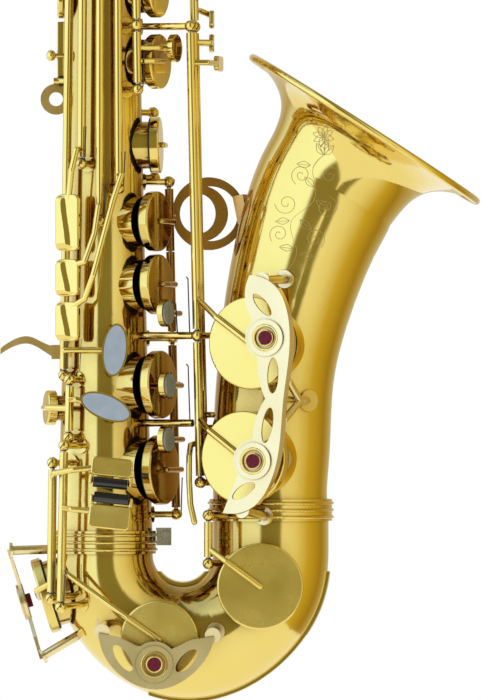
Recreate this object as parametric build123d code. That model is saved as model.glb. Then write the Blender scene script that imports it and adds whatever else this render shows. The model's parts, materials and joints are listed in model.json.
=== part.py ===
from build123d import *
import math
import os

# Alto saxophone, modelled in millimetres.
# Working frame: Z up along the axis of the body tube, X towards the bell, -Y the player's right side.
# X and Y are measured from the axis of the body tube, Z from the lowest point of the bow.
# Every part is moved on export, so that the origin is the centre of the strap ring's hole.

# ---------------------------------------------------------------- driving dimensions
RING_X = -22.5          # strap ring hole from the body axis
RING_Z = 276.0          # strap ring hole above the bow
WALL = 0.8              # brass sheet
BODY_BOTTOM_Z = 70.0
BODY_TOP_Z = 548.0
BODY_TOP_R = 13.25
BOW_CENTRE = Vector(35.8, 0, 66.9)
BOW_INNER_R = 13.8      # hollow side of the bow
BOW_START_R = 22.0
BOW_END_R = 26.6
BELL_RING_GAP = 0.35    # between the bell's joint ring and the tube
BELL_START_Z = 88.0
BELL_TILT = 32.7        # lean of the bell mouth from the vertical
BELL_MOUTH = Vector(119.3, 0, 262.1)
BELL_RIM_R = 61.0
RIM_ROLL_R = 1.7

ROD_R = 1.0             # steel hinge rods
TUBE_BORE_R = 1.05      # running fit of the key tubes on the rods
TUBE_R = 2.0
BALL_R = 2.7            # post heads
PILLAR_R = 1.5
FLANGE_R = 3.8
ARM_R = 1.35
CHIMNEY_H = 3.5         # tone hole rim above the tube
CHIMNEY_WALL = 0.9
PAD_GAP = 0.1           # closed pad to tone hole rim
CUP_RIM = 0.9           # pad face to cup rim
CUP_DEPTH = 4.2
CUP_WALL = 0.8
ARM_HEIGHT = CUP_RIM + CUP_DEPTH + 0.8
PEARL_R = 5.4
SEAT_DEPTH = 1.45       # floor of a pearl's seat above the arm's centre line

UP = Vector(0, 0, 1)
PARTS = {}              # node name -> shape in the working frame
HINGES = {}             # moving body -> (point, direction, travel in degrees)
OWNERS = {}             # node that rides on a moving body -> that body
BODY_HOLES = []
BOW_HOLES = []
BELL_HOLES = []
POSTS = []
RODS = []


# ---------------------------------------------------------------- basic shapes
def radius_at(z):
    """Outer radius of the body tube at height z."""
    drop = BODY_TOP_Z - z
    return BODY_TOP_R + 0.00608 * drop + 2.585e-5 * drop * drop


def polar(angle, distance, z):
    return Vector(distance * math.cos(math.radians(angle)), distance * math.sin(math.radians(angle)), z)


def disc(centre, normal, radius, height):
    """Cylinder that stands on centre and rises along normal."""
    solid = Cylinder(radius, height, align=(Align.CENTER, Align.CENTER, Align.MIN))
    return Plane(origin=centre, z_dir=normal).location * solid


def bar(start, end, radius):
    return disc(start, end - start, radius, (end - start).length)


def ball(centre, radius):
    return Pos(*centre) * Sphere(radius)


def wire_arm(points, radius=ARM_R):
    """Round arm through points, with a ball at each bend."""
    shape = ball(points[0], radius)
    for start, end in zip(points, points[1:]):
        shape = shape + bar(start, end, radius) + ball(end, radius)
    return shape


def hinge_tube(start, end):
    return bar(start, end, TUBE_R) - bar(start - (end - start) * 0.01, end + (end - start) * 0.01, TUBE_BORE_R)


def key_cup(centre, normal, radius):
    """Dished cup over a pad whose face is centred on centre."""
    cup = Cylinder(radius, CUP_DEPTH, align=(Align.CENTER, Align.CENTER, Align.MIN))
    cup = fillet(cup.edges().sort_by(Axis.Z)[-1], 0.9)
    cup = cup - Cylinder(radius - CUP_WALL, CUP_DEPTH - 1.0, align=(Align.CENTER, Align.CENTER, Align.MIN))
    return Plane(origin=centre + normal * CUP_RIM, z_dir=normal).location * cup


def key_pad(centre, normal, radius):
    depth = CUP_RIM + CUP_DEPTH - 1.0
    pad = Cylinder(radius - CUP_WALL - 0.1, depth, align=(Align.CENTER, Align.CENTER, Align.MIN))
    pad = fillet(pad.edges().sort_by(Axis.Z)[0], 0.7)
    return Plane(origin=centre, z_dir=normal).location * pad


def plate(centre, normal, upright, width, height, thickness, corner):
    """Rounded plate; width lies across upright, height along it."""
    plane = Plane(origin=centre, x_dir=upright.cross(normal), z_dir=normal)
    solid = extrude(RectangleRounded(width, height, corner), thickness / 2, both=True)
    return plane.location * fillet(solid.edges().filter_by(Plane.XY), thickness * 0.3)


def tone_hole(holes, centre, normal, cup_radius, depth):
    """Chimney whose rim lies just under a closed pad centred on centre."""
    rim = centre - normal * PAD_GAP
    outer_r = cup_radius - 2.2
    outer = disc(rim - normal * depth, normal, outer_r, depth)
    bore = disc(rim - normal * depth, normal, outer_r - CHIMNEY_WALL, depth + 1)
    holes.append((outer, bore))


def post(head, root, flange_distance, rod_axis=UP):
    """Ball-headed post; root lies on the tube's axis, the flange at flange_distance from it."""
    out = (head - root).normalized()
    foot = root + out * (flange_distance - 0.6)
    ball_head = Plane(origin=head, z_dir=rod_axis).location * Sphere(BALL_R)
    POSTS.append(disc(foot, out, FLANGE_R, 1.6) + bar(foot, head, PILLAR_R) + ball_head)


def body_post(head, rod_axis=UP):
    post(head, Vector(0, 0, head.Z), radius_at(head.Z), rod_axis)


def rod(start, end):
    RODS.append(bar(start, end, ROD_R))


class Face:
    """Reference line on the body tube at one angle, between two heights."""

    def __init__(self, angle, z_low, z_high):
        low = polar(angle, radius_at(z_low), z_low)
        high = polar(angle, radius_at(z_high), z_high)
        self.low = low
        self.along = (high - low).normalized()
        outward = polar(angle, 1, 0)
        self.normal = (outward - self.along * outward.dot(self.along)).normalized()
        self.side = self.along.cross(self.normal)

    def at(self, height, side, z):
        """Point at a height above the line, offset sideways, at about the given z."""
        return self.low + self.along * (z - self.low.Z) + self.normal * height + self.side * side


class Key:
    """A key that swings on a tube from start to end. It is drawn with its pad closed."""

    def __init__(self, name, start, end):
        self.name = name
        self.start = start
        self.end = end
        self.direction = (end - start).normalized()
        self.solid = hinge_tube(start, end)
        self.extras = {}

    def on_hinge(self, z):
        return self.start + self.direction * ((z - self.start.Z) / self.direction.Z)

    def add(self, shape):
        self.solid = self.solid + shape

    def add_cup(self, centre, normal, radius, arm_start, holes=None, depth=18, pad_node=None):
        """Cup, arm over its top and tone hole; returns the sense that closes the pad."""
        if holes is not None:
            tone_hole(holes, centre, normal, radius, depth)
        across = arm_start - centre
        across = (across - normal * across.dot(normal)).normalized()
        edge = centre + normal * ARM_HEIGHT + across * (radius - 0.5)
        self.add(key_cup(centre, normal, radius))
        self.add(wire_arm([arm_start, edge, centre + normal * ARM_HEIGHT]))
        if pad_node:
            self.extras[pad_node] = key_pad(centre, normal, radius)
        lift = self.direction.cross(centre - self.start).dot(normal)
        return -1 if lift > 0 else 1

    def finish(self, closing, travel, rests_open):
        """Keeps a key that rests open, or one that rests closed and opens."""
        if rests_open:
            self.keep(closing, travel, -closing * travel)
        else:
            self.keep(-closing, travel, 0)

    def keep(self, sense, travel, turn):
        """Clears the tube, turns the key to its rest position and keeps its hinge; travel is from rest."""
        axis = Axis(self.start, self.direction)
        self.solid = self.solid - bar(self.start - self.direction, self.end + self.direction, TUBE_BORE_R)
        PARTS[self.name] = self.solid.rotate(axis, turn)
        for node, shape in self.extras.items():
            PARTS[node] = shape.rotate(axis, turn)
            OWNERS[node] = self.name
        HINGES[self.name] = (self.start, self.direction * sense, travel)


# ---------------------------------------------------------------- body, bow and bell
def turned_body(grow, bottom, top):
    outline = Spline(*[(radius_at(z) + grow, 0, z) for z in (bottom, 180, 290, 400, top)])
    top_edge = (radius_at(top) + grow, 0, top)
    bottom_edge = (radius_at(bottom) + grow, 0, bottom)
    ends = Polyline(top_edge, (0, 0, top), (0, 0, bottom), bottom_edge)
    return revolve(make_face(outline + ends), Axis.Z)


def bow_radius(angle):
    """Tube radius round the bow: 0 is the body side, 180 the bell side."""
    return BOW_START_R + (BOW_END_R - BOW_START_R) * min(angle / 90, 1)


def bow_point(angle, distance):
    """Point in the mid-plane at a distance from the centre of the bow's curve."""
    turn = math.radians(angle)
    return BOW_CENTRE + Vector(-math.cos(turn), 0, -math.sin(turn)) * distance


def bow_axis(angle):
    return bow_point(angle, BOW_INNER_R + bow_radius(angle))


def bow_solid(grow, overrun):
    sections = []
    for angle in range(0, 181, 30):
        turn = math.radians(angle)
        heading = Vector(math.sin(turn), 0, -math.cos(turn))
        plane = Plane(origin=bow_axis(angle), x_dir=(0, 1, 0), z_dir=heading)
        sections.append(plane * Circle(bow_radius(angle) + grow))
    body_side = disc(bow_axis(0), UP, BOW_START_R + grow, BODY_BOTTOM_Z - BOW_CENTRE.Z + overrun)
    bell_side = disc(bow_axis(180), UP, BOW_END_R + grow, BELL_START_Z - BOW_CENTRE.Z + overrun)
    return loft(sections) + body_side + bell_side


# centre x, centre z, lean in degrees, outer radius
BELL_SECTIONS = [
    (76.2, BELL_START_Z, 0, 26.6),
    (76.3, 111, 2, 26.8),
    (77.4, 137, 5, 26.9),
    (79.8, 160, 9, 27.4),
    (84.6, 184, 14, 29.3),
    (90.0, 204, 19, 31.1),
    (95.9, 221, 25, 32.8),
    (102.55, 236.0, BELL_TILT, 33.8),
]
# radius, distance below the rim along the bell's axis
FLARE = [(33.8, 31.0), (34.9, 20.5), (37.8, 12.0), (43.5, 6.0), (52.0, 2.0), (BELL_RIM_R, 0.0)]


def bell_loft(grow):
    sections = []
    for x, z, lean, radius in BELL_SECTIONS:
        heading = Vector(math.sin(math.radians(lean)), 0, math.cos(math.radians(lean)))
        plane = Plane(origin=(x, 0, z), x_dir=(0, 1, 0), z_dir=heading)
        sections.append(plane * Circle(radius + grow))
    return loft(sections)


def bell_frame():
    lean = math.radians(BELL_TILT)
    return Plane(origin=BELL_MOUTH, x_dir=(0, 1, 0), z_dir=(math.sin(lean), 0, math.cos(lean)))


def bell_flare():
    outer = [(radius, 0, -depth) for radius, depth in FLARE]
    inner = [(radius - WALL * 0.8, 0, -depth + WALL * 0.7) for radius, depth in FLARE]
    face = make_face(Spline(*outer) + Line(outer[-1], inner[-1]) + Spline(*inner) + Line(inner[0], outer[0]))
    rim = Torus(BELL_RIM_R, RIM_ROLL_R)
    return bell_frame().location * (revolve(face, Axis.Z) + rim)


def ribbed_ring(x, z_low, z_high, radius, thickness):
    """Joint ring with three raised ribs."""
    height = z_high - z_low
    ring = Cylinder(radius + thickness, height, align=(Align.CENTER, Align.CENTER, Align.MIN))
    for step in range(3):
        z = height * (0.18 + 0.32 * step)
        ring = ring + Pos(0, 0, z) * Torus(radius + thickness, 0.8)
    ring = ring - Cylinder(radius, height, align=(Align.CENTER, Align.CENTER, Align.MIN))
    return Pos(x, 0, z_low) * ring


# ---------------------------------------------------------------- low keys on the bell and bow
BELL_KEY_ANGLE = -109.0
BELL_CUP_R = 21.2
LEVER_TRAVEL = 4.0
TABLE_POST_Z = 309.3    # between the G and A cups
LINE_LOW = Vector(43.9, -22.0, 100.0)
LINE_HIGH = Vector(39.3, -14.0, TABLE_POST_Z)
TABLE_HEADS = [LINE_HIGH, Vector(40.7, -6, TABLE_POST_Z), Vector(41.2, 2.5, TABLE_POST_Z)]


def on_line(z):
    """Point on the hinge line of the low B and B flat keys."""
    share = (z - LINE_LOW.Z) / (LINE_HIGH.Z - LINE_LOW.Z)
    return LINE_LOW + (LINE_HIGH - LINE_LOW) * share


def low_bell_keys():
    normal = polar(BELL_KEY_ANGLE, 1, 0)
    rim_distance = 26.9 + CHIMNEY_H
    b_centre = Vector(76.3, 0, 111.5) + normal * rim_distance
    bflat_centre = Vector(80.3, 0, 163.8) + normal * (rim_distance + 0.6)
    b_key = Key("low_b_key", on_line(103.0), on_line(164.2))
    closing = b_key.add_cup(b_centre, normal, BELL_CUP_R, on_line(129.5), BELL_HOLES, 24, "low_b_pad")
    b_key.finish(closing, 6.5, True)
    bflat_key = Key("low_bflat_key", on_line(170.4), on_line(306.2))
    closing = bflat_key.add_cup(
        bflat_centre, normal, BELL_CUP_R, on_line(185.0), BELL_HOLES, 24, "low_bflat_pad"
    )
    add_touch(bflat_key, [on_line(292.5), Vector(47, -13, 292.5), Vector(49, 3, 292.5)], 14, 292.5, 20, 7)
    bflat_key.finish(closing, 6.5, True)
    rod(on_line(100), LINE_HIGH)
    post(on_line(100), Vector(76.2, 0, 100), 26.7)
    post(on_line(167.3), Vector(80.5, 0, 167.3), 27.8)


def add_touch(key, arm_points, y_centre, z_centre, length, height):
    """Touch plate of the left little finger, facing the bell."""
    key.add(wire_arm(arm_points))
    centre = Vector(49, y_centre, z_centre)
    key.add(plate(centre, Vector(1, 0, 0), UP, length, height, 2.4, 2.2))


def table_levers():
    """Long levers beside the low B line, and the short G sharp lever."""
    lower = Vector(45.2, -13.5, 125)
    upper = TABLE_HEADS[1]
    lean = (upper - lower).normalized()
    lever = Key("low_b_lever", lower + lean * 3, upper - lean * 3)
    lever.add(wire_arm([lever.on_hinge(131), Vector(49.5, -17.0, 131)]))
    add_touch(lever, [lever.on_hinge(302), Vector(48, -4, 302), Vector(49, 4, 302)], 9, 302, 10, 8)
    lever.keep(1, LEVER_TRAVEL, 0)
    rod(lower, upper)
    post(lower, Vector(76.4, 0, 125), 26.8)

    lower = Vector(45.4, -5, 108)
    upper = TABLE_HEADS[2]
    lean = (upper - lower).normalized()
    lever = Key("low_csharp_lever", lower + lean * 3, upper - lean * 3)
    curve = [lever.on_hinge(119), Vector(39.4, -10, 117), Vector(38.8, -24, 112), Vector(38.8, -27.5, 101)]
    lever.add(wire_arm(curve + [Vector(39.4, -28.5, 90), Vector(41.2, -28.5, 82)]))
    add_touch(lever, [lever.on_hinge(302), Vector(41.5, 14, 302), Vector(48.4, 18, 302)], 20.2, 302, 9.6, 8)
    lever.keep(1, LEVER_TRAVEL, 0)
    top = upper + lean * 13.5
    rod(lower, top)
    post(lower, Vector(76.2, 0, 108), 26.7)

    lever = Key("gsharp_lever", upper + lean * 3, top - lean * 1.0)
    arm = [lever.on_hinge(317), Vector(43.5, 11, 317), Vector(48.4, 13, 315)]
    add_touch(lever, arm, 14.5, 313, 21, 8)
    lever.keep(1, LEVER_TRAVEL, 0)
    table_bracket()


def table_bracket():
    """Three post heads that share one foot."""
    start = len(POSTS)
    for head in TABLE_HEADS:
        body_post(head)
    heads = POSTS[start:]
    del POSTS[start:]
    POSTS.append(heads[0] + heads[1] + heads[2])


def low_csharp_key():
    hinge_x = 47.6
    hinge_y = -29.6
    key = Key("low_csharp_key", Vector(hinge_x, hinge_y, 66), Vector(hinge_x, hinge_y, 82))
    centre = Vector(71.3, -30.1, 52.6)
    closing = key.add_cup(
        centre, Vector(0, -1, 0), 19.8, Vector(hinge_x, hinge_y, 70), BOW_HOLES, 22, "low_csharp_pad"
    )
    key.finish(closing, 7, False)
    rod(Vector(hinge_x, hinge_y, 63), Vector(hinge_x, hinge_y, 85))
    post(Vector(hinge_x, hinge_y, 63), Vector(76.2, 0, 63), BOW_END_R)
    post(Vector(hinge_x, hinge_y, 85), Vector(76.2, 0, 85), BOW_END_R)


LOW_C_HINGE = (Vector(-19.9, -29.4, 43), Vector(-18.4, -29.4, 117))
LOW_C_CENTRE = Vector(25.7, -29.8, 28.3)
LOW_C_R = 18.0
EFLAT_HINGE = (Vector(-24.4, -24.0, 47), Vector(-23.7, -24.0, 109))
EFLAT_R = 17.5
EFLAT_ANGLE = 16.8      # the tone hole's direction below the level, on the outside of the bow
TOUCH_Y = -41.0
TOUCH_TILT = -6.0


def pinky_touch(z_centre, height, roller_offset):
    """Tilted touch plate of the right little finger with its roller."""
    tilt = math.radians(TOUCH_TILT)
    upright = Vector(-math.sin(tilt), 0, math.cos(tilt))
    across = Vector(math.cos(tilt), 0, math.sin(tilt))
    centre = Vector(3.6, TOUCH_Y, z_centre)
    touch = plate(centre, Vector(0, -1, 0), upright, 19.0, height, 2.2, 2.0)
    roller_centre = centre + upright * roller_offset + Vector(0, -0.3, 0)
    for end in (-1, 1):
        tip = roller_centre + across * (9.0 * end)
        touch = touch + bar(tip - upright * math.copysign(3.2, roller_offset), tip, 1.0)
        touch = touch + ball(tip, 1.0)
    roller = bar(roller_centre - across * 7.9, roller_centre + across * 7.9, 2.45)
    return touch, roller


def low_c_key():
    start, end = LOW_C_HINGE
    lean = (end - start).normalized()
    key = Key("low_c_key", start + lean * 3, end - lean * 3)
    closing = key.add_cup(
        LOW_C_CENTRE, Vector(0, -1, 0), LOW_C_R, key.on_hinge(60), BOW_HOLES, 24, "low_c_pad"
    )
    touch, roller = pinky_touch(84.4, 11.0, 8.6)
    key.add(wire_arm([key.on_hinge(88.5), Vector(-14, TOUCH_Y + 1, 88), Vector(-4, TOUCH_Y + 0.6, 87)]))
    key.add(touch)
    key.extras["low_c_roller"] = roller
    key.finish(closing, 5, True)
    rod(start, end)
    post(start, Vector(5.5, 0, 46.5), 23.4)
    body_post(end)


def low_eflat_key():
    start, end = EFLAT_HINGE
    lean = (end - start).normalized()
    key = Key("low_eflat_key", start + lean * 3, end - lean * 3)
    normal = Vector(-math.cos(math.radians(EFLAT_ANGLE)), 0, -math.sin(math.radians(EFLAT_ANGLE)))
    rim_distance = BOW_INNER_R + 2 * bow_radius(EFLAT_ANGLE) + CHIMNEY_H
    centre = bow_point(EFLAT_ANGLE, rim_distance)
    closing = key.add_cup(centre, normal, EFLAT_R, key.on_hinge(54), BOW_HOLES, 20, "low_eflat_pad")
    touch, roller = pinky_touch(107.2, 8.6, -7.4)
    bends = [Vector(-22.5, -38.5, 104.5), Vector(-14, TOUCH_Y, 106), Vector(-4, TOUCH_Y + 0.6, 107)]
    key.add(wire_arm([key.on_hinge(103)] + bends))
    key.add(touch)
    key.extras["low_eflat_roller"] = roller
    key.finish(closing, 5.5, False)
    rod(start, end)
    post(start, Vector(4.2, 0, 49), 23.0)
    body_post(end)
    return centre, normal


# ---------------------------------------------------------------- stacks of the two hands
def pearl_holder(key, base_points, centre, normal, node=None):
    """Cup for a finger pearl on its own short arm."""
    key.add(wire_arm(base_points + [centre - normal * 0.3]))
    holder = disc(centre, normal, PEARL_R + 1.0, 2.6)
    key.add(holder - disc(centre + normal * SEAT_DEPTH, normal, PEARL_R, 3))
    if node:
        key.extras[node] = disc(centre + normal * SEAT_DEPTH, normal, PEARL_R, 1.9)


def stack(face, rod_side, rows, posts, travel):
    """One stack of keys on a shared rod. A row: name, tube ends, cup z, cup radius, pearl z, pearl side."""
    for name, tube, cup_z, radius, pearl_z, pearl_side, pad_node, pearl_node in rows:
        key = Key(name, face.at(CHIMNEY_H, rod_side, tube[0]), face.at(CHIMNEY_H, rod_side, tube[1]))
        centre = face.at(CHIMNEY_H, 0, cup_z)
        arm_start = face.at(CHIMNEY_H, rod_side, cup_z)
        closing = key.add_cup(centre, face.normal, radius, arm_start, BODY_HOLES, 18, pad_node)
        if pearl_z:
            low = face.at(CHIMNEY_H, rod_side, pearl_z)
            bend = face.at(CHIMNEY_H + ARM_HEIGHT + 2.0, rod_side * 0.62, pearl_z)
            seat = face.at(CHIMNEY_H + ARM_HEIGHT + 3.2, pearl_side, pearl_z)
            pearl_holder(key, [low, bend], seat, face.normal, pearl_node)
        key.finish(closing, travel, True)
    heads = [face.at(CHIMNEY_H, rod_side, z) for z in posts]
    rod(heads[0], heads[-1])
    for head in heads:
        body_post(head)


def right_hand_stack():
    rows = [
        ("d_key", (88.2, 125.8), 105.5, 16.0, 119.3, -10.0, None, "d_pearl"),
        ("e_key", (126.2, 162.8), 144.6, 15.6, 144.1, -7.5, None, "e_pearl"),
        ("f_key", (169.2, 205.8), 190.6, 13.8, 177.2, -7.5, None, "f_pearl"),
        ("fsharp_key", (206.2, 234.8), 219.5, 13.8, None, 0, None, None),
    ]
    stack(Face(-32, 85, 240), 21.5, rows, (85, 166, 238), 7)


def left_hand_stack():
    rows = [
        ("g_key", (283.2, 306.3), 293.0, 12.6, 299.0, 3.0, None, None),
        ("a_key", (312.7, 338.6), 325.0, 11.8, 332.5, 3.0, None, None),
        ("b_key", (339.0, 364.6), 352.5, 10.8, 358.5, 3.0, None, None),
        ("c_key", (365.0, 389.8), 378.5, 9.6, None, 0, None, None),
    ]
    stack(Face(-15, 280, 395), -17.0, rows, (280, 309.5, 393), 7)


def gsharp_key():
    face = Face(-5, 240, 270)
    key = Key("gsharp_key", face.at(CHIMNEY_H, 18.5, 243), face.at(CHIMNEY_H, 18.5, 267))
    centre = face.at(CHIMNEY_H, 0, 254.8)
    arm_start = face.at(CHIMNEY_H, 18.5, 254.8)
    closing = key.add_cup(centre, face.normal, 13.0, arm_start, BODY_HOLES, 18)
    key.finish(closing, 8, False)
    rod(face.at(CHIMNEY_H, 18.5, 240), face.at(CHIMNEY_H, 18.5, 270))
    body_post(face.at(CHIMNEY_H, 18.5, 240))
    body_post(face.at(CHIMNEY_H, 18.5, 270))


# ---------------------------------------------------------------- side, trill and palm keys
SIDE_ROD_HEIGHT = 7.5
SIDE_TOUCH_ANGLE = -122.0
SIDE_TOUCH_DISTANCE = 31.5


def side_key(name, angle, tube, cup_z, cup_radius, touch_z, touch_height, arm_points):
    face = Face(angle, tube[0], tube[1])
    start = face.at(SIDE_ROD_HEIGHT, 0, tube[0])
    end = face.at(SIDE_ROD_HEIGHT, 0, tube[1])
    key = Key(name, start, end)
    cup_face = Face(angle + 36, cup_z - 10, cup_z + 10)
    centre = cup_face.at(2.5, 0, cup_z)
    closing = key.add_cup(centre, cup_face.normal, cup_radius, key.on_hinge(cup_z), BODY_HOLES, 13)
    touch_centre = polar(SIDE_TOUCH_ANGLE, SIDE_TOUCH_DISTANCE, touch_z)
    outward = polar(SIDE_TOUCH_ANGLE, 1, 0)
    key.add(plate(touch_centre, outward, UP, 12.5, touch_height, 2.6, 3.0))
    exit_point = key.on_hinge(tube[0] + 3.5)
    clear_point = exit_point + polar(angle, 5.5, 0)
    touch_end = touch_centre + Vector(0, 0, touch_height * 0.3)
    key.add(wire_arm([exit_point, clear_point] + arm_points + [touch_end]))
    key.finish(closing, 7, False)
    rod(start - face.along * 3, end + face.along * 3)
    body_post(start - face.along * 3)
    body_post(end + face.along * 3)


def side_keys():
    side_key("high_e_key", -115, (249, 478), 474, 7.5, 219, 26, [Vector(-15.0, -29.0, 243)])
    side_key("side_c_key", -95, (223, 446), 441, 9.0, 193.8, 17,
             [Vector(-4.5, -31.5, 214), Vector(-9.0, -31.5, 201)])
    side_key("side_bflat_key", -75, (237.5, 416), 411, 9.5, 173.8, 18,
             [Vector(4.0, -32.5, 229), Vector(-5.0, -34.5, 195), Vector(-9.0, -32.0, 184)])


OVAL_ARM_OFFSET = Vector(0, 0.4, 0)


def oval_touch(key, centre, lean, node):
    """Oval pearl touch: bezel on the key, inlay in its own node."""
    turn = math.radians(lean)
    plane = Plane(origin=centre, x_dir=(math.cos(turn), 0, math.sin(turn)), z_dir=(0, -1, 0))
    bezel = extrude(Ellipse(12.2, 5.9), 2.6)
    key.add(plane.location * bezel)
    key.solid = key.solid - plane.location * (Pos(0, 0, SEAT_DEPTH) * extrude(Ellipse(11.3, 5.0), 4))
    key.extras[node] = plane.location * (Pos(0, 0, SEAT_DEPTH) * extrude(Ellipse(11.3, 5.0), 1.5))


def trill_keys():
    face = Face(-140, 150, 495)
    start = face.at(4.6, 0, 152)
    end = face.at(4.6, 0, 492)
    key = Key("high_fsharp_key", start, end)
    cup_face = Face(-176, 475, 495)
    centre = cup_face.at(2.5, 0, 486)
    closing = key.add_cup(centre, cup_face.normal, 7.0, key.on_hinge(486), BODY_HOLES, 13)
    oval_centre = Vector(4.8, -28.0, 160.7)
    key.add(wire_arm([key.on_hinge(160.7), Vector(-18.5, -24.8, 160.7), oval_centre + OVAL_ARM_OFFSET]))
    oval_touch(key, oval_centre, 84, "high_fsharp_pearl")
    key.finish(closing, 8, False)
    for end_point in (start - face.along * 3, end + face.along * 3):
        body_post(end_point)
    rod(start - face.along * 3, end + face.along * 3)

    face = Face(-128, 120, 150)
    start = face.at(6.0, 0, 123.5)
    end = face.at(6.0, 0, 144)
    key = Key("trill_fsharp_key", start, end)
    cup_face = Face(-168, 120, 150)
    closing = key.add_cup(cup_face.at(2.5, 0, 134), cup_face.normal, 8.0, key.on_hinge(134), BODY_HOLES, 16)
    oval_centre = Vector(0.7, -29.5, 134.7)
    key.add(wire_arm([key.on_hinge(138), Vector(-13, -28.6, 138), oval_centre + OVAL_ARM_OFFSET]))
    oval_touch(key, oval_centre, -22, "trill_fsharp_pearl")
    key.finish(closing, 8, False)
    for end_point in (start - face.along * 3, end + face.along * 3):
        body_post(end_point)
    rod(start - face.along * 3, end + face.along * 3)


def palm_key(name, angle, hinge_z, cup_radius):
    """Rocking key: the touch below the hinge is pressed in and the cup above it lifts."""
    face = Face(angle, hinge_z - 40, hinge_z + 50)
    pivot = face.at(8.5, 0, hinge_z)
    start = pivot - face.side * 5
    end = pivot + face.side * 5
    key = Key(name, start, end)
    cup_centre = face.at(2.5, 0, hinge_z + 42)
    tone_hole(BODY_HOLES, cup_centre, face.normal, cup_radius, 13)
    key.add(key_cup(cup_centre, face.normal, cup_radius))
    top = cup_centre + face.normal * ARM_HEIGHT
    touch_centre = face.at(13.5, 0, hinge_z - 28)
    key.add(wire_arm([top, face.at(9.0, 0, hinge_z + 20), pivot, face.at(11.5, 0, hinge_z - 14), touch_centre]))
    key.add(plate(touch_centre, face.normal, face.along, 11.0, 24.0, 2.4, 4.5))
    key.keep(1, 6, 0)
    rod(start - face.side * 3, end + face.side * 3)
    body_post(start - face.side * 3, face.side)
    body_post(end + face.side * 3, face.side)


def palm_keys():
    palm_key("palm_d_key", 95, 384, 8.6)
    palm_key("palm_eflat_key", 52, 404, 8.2)
    palm_key("palm_f_key", 138, 446, 7.8)


def octave_key():
    face = Face(180, 330, 430)
    pivot = face.at(7.5, 0, 372)
    start = pivot - face.side * 5
    end = pivot + face.side * 5
    key = Key("octave_thumb_key", start, end)
    pip_centre = face.at(5.0, 0, 404)
    tone_hole(BODY_HOLES, pip_centre, face.normal, 4.6, 12)
    key.add(key_cup(pip_centre, face.normal, 4.6))
    top = pip_centre + face.normal * ARM_HEIGHT
    touch_centre = face.at(9.5, 0, 344)
    key.add(wire_arm([top, face.at(9.0, 0, 392), pivot, touch_centre]))
    key.add(plate(touch_centre, face.normal, face.along, 15.0, 11.0, 2.4, 3.0))
    key.keep(1, 6, 0)
    rod(start - face.side * 3, end + face.side * 3)
    body_post(start - face.side * 3, face.side)
    body_post(end + face.side * 3, face.side)


# ---------------------------------------------------------------- guards
HUB_R = 8.4
HUB_BORE_R = 3.3
GUARD_T = 1.4


def guard_from(outline, plane, lobes, eyes):
    """Guard plate: an outline with round lobes, eye-shaped openings and a raised hub in each lobe."""
    solid = extrude(make_face(outline), GUARD_T)
    for x, y, radius in lobes:
        solid = solid + Pos(x, y, 0) * extrude(Circle(radius), GUARD_T)
    for x, y, half_length, half_width, lean in eyes:
        eye = extrude(Ellipse(half_length, half_width), GUARD_T + 2)
        solid = solid - Pos(x, y, -1) * Rot(0, 0, lean) * eye
    for x, y, radius in lobes:
        hub = Cylinder(HUB_R, 3.0, align=(Align.CENTER, Align.CENTER, Align.MIN))
        hub = hub - Pos(0, 0, 1.6) * Cylinder(6.2, 3, align=(Align.CENTER, Align.CENTER, Align.MIN))
        solid = solid + Pos(x, y, -0.4) * hub
        solid = solid - Pos(x, y, 0) * Cylinder(HUB_BORE_R, 12)
    return plane.location * solid


def felt(plane, x, y):
    """Bumper in a hub's bore."""
    bumper = Cylinder(HUB_BORE_R - 0.1, 5.0, align=(Align.CENTER, Align.CENTER, Align.MIN))
    return plane.location * (Pos(x, y, -2.6) * bumper)


BELL_GUARD_LIFT = 49.0  # distance of the guard plane from the bell's axis
SKIRT_INSET = 0.35      # skirt from the guard's edge
SKIRT_WIDTH = 1.3
SKIRT_DEPTH = 6.7


def bell_guard():
    """Long guard over the low B and B flat cups, with a skirt along its outer edge."""
    normal = polar(BELL_KEY_ANGLE, 1, 0)
    squeeze = abs(math.sin(math.radians(BELL_KEY_ANGLE)))
    origin = Vector(76.0, 0, 0) + normal * BELL_GUARD_LIFT
    plane = Plane(origin=origin, x_dir=UP.cross(normal), z_dir=normal)

    def flat(x, z):
        return ((x - origin.X) / squeeze, z)

    edge = [(79.1, 189.1), (85.0, 170.5), (82.2, 138.0), (78.6, 107.4), (69.7, 90.3)]
    right = Spline(*[flat(*p) for p in [(66.8, 194.8)] + edge + [(54.6, 86.3)]])
    left = Polyline(flat(54.6, 86.3), flat(61.5, 104), flat(68.3, 121))
    left += Spline(flat(68.3, 121), flat(70.5, 131.5), flat(74.0, 138.5))
    left += Spline(flat(74.0, 138.5), flat(71.2, 147), flat(70.5, 156))
    left += Line(flat(70.5, 156), flat(67.5, 175))
    left += Spline(flat(67.5, 175), flat(64.7, 186), flat(66.8, 194.8))
    lobes = [flat(74.3, 166.3) + (9.9,), flat(68.7, 110.1) + (9.9,)]
    eyes = [
        flat(72.6, 181.3) + (6.4, 2.5, -50),
        flat(77.5, 149.1) + (8.2, 2.7, 88),
        flat(75.0, 126.4) + (8.2, 2.6, 80),
        flat(64.2, 96.4) + (6.4, 2.7, 33),
    ]
    guard = guard_from(right + left, plane, lobes, eyes)
    outer = [flat(x - SKIRT_INSET, z) for x, z in edge]
    inner = [flat(x - SKIRT_INSET - SKIRT_WIDTH, z) for x, z in edge]
    skirt_face = make_face(
        Spline(*outer) + Line(outer[-1], inner[-1]) + Spline(*inner[::-1]) + Line(inner[0], outer[0])
    )
    skirt = Pos(0, 0, GUARD_T / 2) * extrude(skirt_face, -SKIRT_DEPTH)
    guard = guard + plane.location * skirt
    return guard, plane, lobes


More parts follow.
